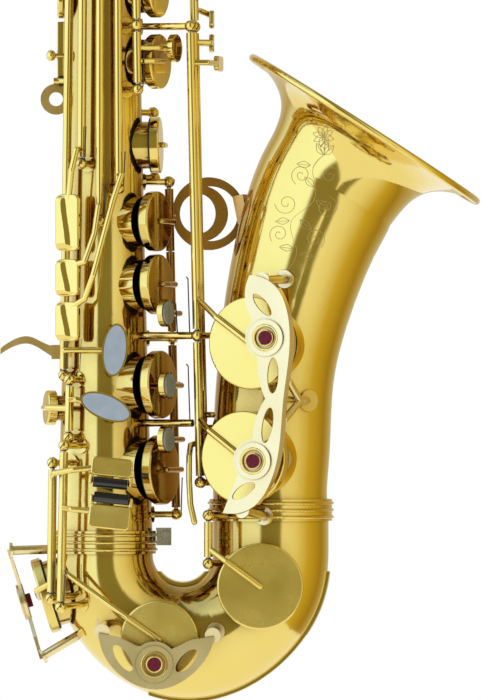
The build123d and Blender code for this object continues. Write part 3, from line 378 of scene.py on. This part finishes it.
def hub_rings():
    """Polished bezel round each felt bumper, a thin ring at its edge and the slots of its screw-in cap drawn as
    dark lines of painted shade.
    """
    marks = []
    for number, cloud in enumerate(islands(NODES["guard_felts"])):
        centre = sum(cloud, Vector()) / len(cloud)
        rim = [(point - centre) for point in cloud if (point - centre).length > 3.9e-3]
        outward = hub_outward(centre)
        top = centre + outward * max(offset.dot(outward) for offset in rim)
        ring = [(5.0, -0.9), (5.0, 0.15), (5.35, 0.5), (5.85, 0.5), (6.15, 0.2), (6.15, -0.9)]
        bezel = lathe(f"hub_bezel_{number}", top, outward, ring, hollow=True)
        keep(bezel, "instrument", "lacquered_brass")
        collar = lathe(f"hub_collar_{number}", top, outward,
                       [(3.25, -1.0), (3.25, 0.25), (3.5, 0.45), (3.8, 0.25), (3.8, -1.0)], hollow=True)
        keep(collar, "instrument", "lacquered_brass")
        across = outward.orthogonal().normalized()
        for step in range(6):
            spoke = Matrix.Rotation(math.radians(60 * step + 15), 3, outward) @ across
            # dark spokes on the cap: painted shade of its slots
            marks.append([top + spoke * reach + outward * MARK_LIFT for reach in (0.9e-3, 2.6e-3)])
    keep(wires("felt_cap_slot_painted_shade", marks, 0.22, smooth=False), "instrument", "bore_shade")


hub_rings()


# ---------------------------------------------------------------- painted shade of the screw slots, and springs of the rods
BALL = 2.7e-3
SHORTEST_SPRUNG_ROD = 0.03


def post_outward(head):
    """Direction from the nearer tube's axis to a post head, turned a little to the front."""
    on_bell = head.x > at(36, 0, 0).x and head.z < at(0, 0, 200).z
    axis_x = at(76.2 if on_bell else 0, 0, 0).x
    out = Vector((head.x - axis_x, head.y, 0)).normalized()
    return (out + Vector((0, -0.6, 0))).normalized() if out.y < 0.5 else out


def rod_fittings():
    """A screw slot on every post head at a rod's end, drawn as a dark line of painted shade, and a needle spring
    beside each long rod.
    """
    slots = []
    springs = []
    for cloud in islands(NODES["hinge_rods"]):
        low, high = sorted(ends_of(cloud), key=lambda end: end.z)
        along = (high - low).normalized()
        for head in (low, high):
            out = post_outward(head)
            across = (along + along.cross(out) * 0.8).cross(out).normalized()
            arc = [Matrix.Rotation(math.radians(angle), 3, across) @ out for angle in (-38, -19, 0, 19, 38)]
            # the slot's dark line is painted shade, lifted just off the ball
            slots.append([head + ray * (BALL + MARK_LIFT) for ray in arc])
        if (high - low).length > SHORTEST_SPRUNG_ROD and along.z > 0.8:
            side = (post_outward(low) + along.cross(post_outward(low)) * 1.2).normalized()
            root = low + side * 2.6e-3 + along * 1.0e-3
            springs.append([root, root + along * 16e-3 + side * 0.9e-3])
    keep(wires("screw_slot_painted_shade", slots, 0.22), "instrument", "bore_shade")
    keep(wires("needle_springs", springs, 0.28, smooth=False), "instrument", "spring_steel")


rod_fittings()


# ---------------------------------------------------------------- bars, peg and stops on the body
def body_fittings():
    """Two bars from the body to the long rods, the stop and peg above the strap ring, and their felts."""
    bars = [
        [at(17.6, -8.0, 167.3), at(40.4, -18.6, 167.3)],
        [at(18.4, -8.9, 127.2), at(40.4, -19.6, 127.2)],
    ]
    keep(wires("rod_bars", bars, 1.8, smooth=False), "instrument", "lacquered_brass")
    hooks = [
        [at(39.0, -17.9, 168.6), at(38.2, -17.6, 193.4), at(37.4, -17.0, 194.2)],
        [at(39.1, -19.0, 128.6), at(38.3, -18.6, 153.4), at(37.5, -18.0, 154.2)],
        [at(33.4, -15.6, 168.6), at(32.6, -15.0, 182.0), at(31.9, -14.6, 182.6)],
    ]
    keep(wires("stack_springs", hooks, 0.3, smooth=False), "instrument", "spring_steel")
    keep(slab("thumb_bar", at(-20.0, -1.0, 298.6), (4.2, 3.0, 26.0), 0.6),
         "instrument", "lacquered_brass")
    stop = [at(-23.6, -2.2, 284.4), at(-18.0, -2.2, 284.4), at(-12.6, -6.0, 284.4)]
    keep(wires("thumb_bar_stop", [stop], 1.5), "instrument", "lacquered_brass")
    keep(slab("thumb_bar_felt", at(-20.0, -1.2, 284.4), (2.6, 3.6, 4.6), 0.5),
         "instrument", "pad_leather")
    knob = [(1.0, -6.5), (1.0, -1.8), (1.9, -1.4), (2.5, -0.4), (2.6, 0.5), (2.2, 1.6), (1.0, 2.3)]
    keep(lathe("strap_peg", at(-24.5, -2.0, 296.0), Vector((-1, 0, 0)), knob),
         "instrument", "lacquered_brass")


body_fittings()


# ---------------------------------------------------------------- scoops of the side touches
TOUCH_ANGLE = math.radians(-122)
TOUCH_CENTRE = 31.5
TOUCH_FACE = 1.3
TOUCH_HALF_WIDTH = 5.75
TOUCH_CORNER = 2.6
SCOOP_STEP = 1.7
SCOOP_SLOPE = 3.6
SCOOP_BEND = 1.4
SCOOP_RIM = 0.45
SCOOP_SINK = 0.3
SCOOP_EDGE_POWER = 12


def smooth_step(share):
    share = min(1.0, max(0.0, share))
    return share * share * (3 - 2 * share)


def touch_scoop(key, z, height):
    """Finger scoop on a side touch: a raised left side that falls to the right in a slow S."""
    outward = Vector((math.cos(TOUCH_ANGLE), math.sin(TOUCH_ANGLE), 0))
    across = Vector((-outward.y, outward.x, 0))
    middle = at(0, 0, z) + outward * TOUCH_CENTRE / 1000
    half = height / 2 - 0.5
    columns = 28
    rows = 24
    build = bmesh.new()
    grid = []
    for row in range(rows + 1):
        v = -math.cos(math.pi * row / rows) * half
        inset = max(0.0, abs(v) - (half - TOUCH_CORNER))
        wide = TOUCH_HALF_WIDTH - TOUCH_CORNER + math.sqrt(max(0.0, TOUCH_CORNER ** 2 - inset ** 2))
        line = []
        for column in range(columns + 1):
            s = -math.cos(math.pi * column / columns)
            edge = 1 - max(abs(s), abs(v) / half) ** SCOOP_EDGE_POWER
            bend = SCOOP_BEND * math.sin(math.pi / 2 * v / half)
            fall = SCOOP_STEP * (1 - smooth_step((s * wide + bend) / SCOOP_SLOPE + 0.5))
            lift = TOUCH_FACE - SCOOP_SINK + edge * (SCOOP_RIM + fall)
            offset = across * s * wide + outward * lift + Vector((0, 0, v))
            line.append(build.verts.new(middle + offset / 1000))
        grid.append(line)
    for lower, upper in zip(grid, grid[1:]):
        for column in range(columns):
            build.faces.new((lower[column], lower[column + 1], upper[column + 1], upper[column]))
    mesh = bpy.data.meshes.new(f"{key}_touch_scoop")
    build.to_mesh(mesh)
    build.free()
    mesh.shade_smooth()
    scoop = bpy.data.objects.new(f"{key}_touch_scoop", mesh)
    keep(scoop, f"{key}_body", "lacquered_brass")


touch_scoop("high_e_key", 219.0, 26)
touch_scoop("side_c_key", 193.8, 17)
touch_scoop("side_bflat_key", 173.8, 18)


# ---------------------------------------------------------------- engraving on the bell
def scroll(centre, turns, size, start, hand):
    """Spiral of points in the flat pattern, unrolling from its centre."""
    points = []
    steps = int(turns * 14)
    for step in range(steps + 1):
        share = step / steps
        angle = math.radians(start) + hand * share * turns * math.tau
        reach = size * (0.12 + 0.88 * share)
        points.append((centre[0] + reach * math.cos(angle), centre[1] + reach * math.sin(angle)))
    return points


def leaf(root, direction, length, width):
    """Outline of a leaf with its middle vein."""
    turn = math.radians(direction)
    ahead = (math.cos(turn), math.sin(turn))
    beside = (-ahead[1], ahead[0])

    def spot(share, offset):
        return (root[0] + ahead[0] * length * share + beside[0] * offset,
                root[1] + ahead[1] * length * share + beside[1] * offset)

    edge = [(0, 0), (0.25, 0.75), (0.5, 1), (0.8, 0.5), (1, 0)]
    left = [spot(share, width * offset) for share, offset in edge]
    right = [spot(share, -width * offset) for share, offset in edge]
    return [left, right, [spot(0, 0), spot(0.5, 0.1 * width), spot(0.85, 0)]]


def bell_engraving():
    """A scroll of leaves and flowers down the front of the bell, laid on its surface."""
    stem = [(2, 33), (-3, 26), (2, 18), (5, 10), (0, 3), (-5, -4), (-1, -12), (5, -19), (2, -28)]
    pattern = [stem]
    for centre, turns, size, start, hand in (
            ((-6, 20), 1.6, 5.5, 40, 1), ((8, 24), 1.4, 5.0, 160, -1), ((11, 8), 1.7, 6.0, 200, 1),
            ((-9, 4), 1.5, 6.0, 20, -1), ((-8, -12), 1.5, 5.2, 60, 1), ((10, -9), 1.6, 5.6, 180, -1)):
        pattern.append(scroll(centre, turns, size, start, hand))
    for root, direction, length, width in (
            ((2, 33), 100, 8, 2.2), ((2, 33), 60, 7, 2.0), ((2, 33), 140, 7, 2.0), ((-3, 26), 190, 7, 1.8),
            ((5, 10), -20, 8, 2.0), ((2, 16), 150, 7, 1.8), ((-5, -4), 200, 7, 1.8), ((0, -2), -25, 8, 2.0),
            ((5, -19), 10, 7, 1.8), ((1, -17), 190, 7, 1.8), ((2, -28), -90, 9, 2.2),
            ((2, -28), -50, 7, 1.8), ((2, -28), -130, 7, 1.8)):
        pattern.extend(leaf(root, direction, length, width))
    for petal in range(8):
        pattern.extend(leaf((-1, 42), petal * 45, 5.5, 1.6)[:2])
    pattern.append(scroll((-1, 42), 1.0, 1.2, 0, 1))
    lean = math.radians(17)
    unit = 0.9e-3
    low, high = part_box("bell")
    middle = at(90, 0, 222)
    bell = NODES["bell"]
    runs = []
    for line in pattern:
        run = []
        for u, v in line:
            x = middle.x + (u * math.cos(lean) + v * math.sin(lean)) * unit
            z = middle.z + (v * math.cos(lean) - u * math.sin(lean)) * unit
            hit, place, normal, face = bell.ray_cast(Vector((x, low.y - 0.05, z)), Vector((0, 1, 0)))
            if hit:
                run.append(place + normal * MARK_LIFT)
        if len(run) > 1:
            runs.append(run)
    keep(wires("bell_engraving", runs, 0.13), "instrument", "engraving")


bell_engraving()


# ---------------------------------------------------------------- studio
# azimuth in degrees, 0 to the front and 90 to the bell's side, and the tent's colour there
WHITE = (0.75, 0.88, 1.12)
DIM = (0.18, 0.157, 0.066)
TENT = [
    (-180, (0.47, 0.42, 0.32)), (-140, (0.38, 0.31, 0.16)), (-112, WHITE), (-23, WHITE),
    (-18, DIM), (18, DIM), (24, (0.64, 0.63, 0.58)), (48, (0.59, 0.55, 0.41)), (80, (0.42, 0.31, 0.05)),
    (120, (0.26, 0.17, 0.02)), (165, (0.40, 0.35, 0.23)), (180, (0.47, 0.42, 0.32)),
]
TENT_STRENGTH = 1.45
TENT_TOP_SHARE = 0.55
FLOOR_REACH = 1.5
FLOOR_PAST_BELL = 0.12
FLOOR_DROP = 0.12


def studio():
    """White tent, dim in front and amber on the bell's side, over a pale floor that ends past the bell."""
    low, high = CAD_BOX
    world = bpy.data.worlds.new("studio")
    world.use_nodes = True
    tree = world.node_tree
    coordinate = tree.nodes.new("ShaderNodeTexCoord")
    parts = tree.nodes.new("ShaderNodeSeparateXYZ")
    tree.links.new(coordinate.outputs["Generated"], parts.inputs["Vector"])
    towards = tree.nodes.new("ShaderNodeMath")
    towards.operation = "MULTIPLY"
    towards.inputs[1].default_value = -1.0
    tree.links.new(parts.outputs["Y"], towards.inputs[0])
    azimuth = tree.nodes.new("ShaderNodeMath")
    azimuth.operation = "ARCTAN2"
    tree.links.new(parts.outputs["X"], azimuth.inputs[0])
    tree.links.new(towards.outputs[0], azimuth.inputs[1])
    share = to_range(tree, azimuth.outputs[0], 0.0, 1.0, -math.pi, math.pi)
    ring = tree.nodes.new("ShaderNodeValToRGB")
    stops = ring.color_ramp.elements
    middle = [stops.new(angle / 360 + 0.5) for angle, colour in TENT[1:-1]]
    for stop, (angle, colour) in zip([stops[0], *middle, stops[-1]], TENT):
        stop.color = (*colour, 1)
    tree.links.new(share, ring.inputs["Fac"])
    height = to_range(tree, parts.outputs["Z"], TENT_STRENGTH, TENT_STRENGTH * TENT_TOP_SHARE, 0.55, 0.9)
    tent = tree.nodes.new("ShaderNodeBackground")
    tree.links.new(ring.outputs["Color"], tent.inputs["Color"])
    tree.links.new(height, tent.inputs["Strength"])
    white = tree.nodes.new("ShaderNodeBackground")
    white.inputs["Color"].default_value = (1, 1, 1, 1)
    path = tree.nodes.new("ShaderNodeLightPath")
    mix = tree.nodes.new("ShaderNodeMixShader")
    tree.links.new(path.outputs["Is Camera Ray"], mix.inputs["Fac"])
    tree.links.new(tent.outputs["Background"], mix.inputs[1])
    tree.links.new(white.outputs["Background"], mix.inputs[2])
    tree.links.new(mix.outputs["Shader"], tree.nodes["World Output"].inputs["Surface"])
    bpy.context.scene.world = world

    floor_mesh = bpy.data.meshes.new("floor")
    reach = FLOOR_REACH
    right = high.x + FLOOR_PAST_BELL
    corners = [(-reach, -reach, 0), (right, -reach, 0), (right, reach, 0), (-reach, reach, 0)]
    floor_mesh.from_pydata(corners, [], [(0, 1, 2, 3)])
    floor = bpy.data.objects.new("floor", floor_mesh)
    floor.location = (0, 0, low.z - FLOOR_DROP)
    tree, shader = new_material("floor")
    shader.inputs["Roughness"].default_value = 0.9
    shader.inputs["Base Color"].default_value = (0.92, 0.92, 0.92, 1)
    shader.inputs["Emission Color"].default_value = (1, 1, 1, 1)
    shader.inputs["Emission Strength"].default_value = 0.45
    floor_mesh.materials.append(MATERIALS["floor"])
    bpy.context.scene.collection.objects.link(floor)
    bpy.context.scene.view_settings.view_transform = "Standard"


CAMERA_DISTANCE = 6.0
VIEW_HEIGHT = 0.32184
VIEW_WIDTH = VIEW_HEIGHT * 481 / 700
RIM_MARGIN = 0.00055
BOW_CROP = 0.00123


def camera():
    """Level camera in front of the keys, with the bell's rim and the bow just inside the picture's edges."""
    low, high = CAD_BOX
    data = bpy.data.cameras.new("camera")
    data.sensor_width = 36.0
    data.lens = data.sensor_width * CAMERA_DISTANCE / VIEW_HEIGHT
    data.clip_end = 60.0
    cam = bpy.data.objects.new("camera", data)
    middle_x = high.x + RIM_MARGIN - VIEW_WIDTH / 2
    middle_z = low.z + BOW_CROP + VIEW_HEIGHT / 2
    cam.location = (middle_x, -CAMERA_DISTANCE, middle_z)
    cam.rotation_euler = (math.radians(90), 0, 0)
    bpy.context.scene.collection.objects.link(cam)
    bpy.context.scene.camera = cam


studio()
camera()
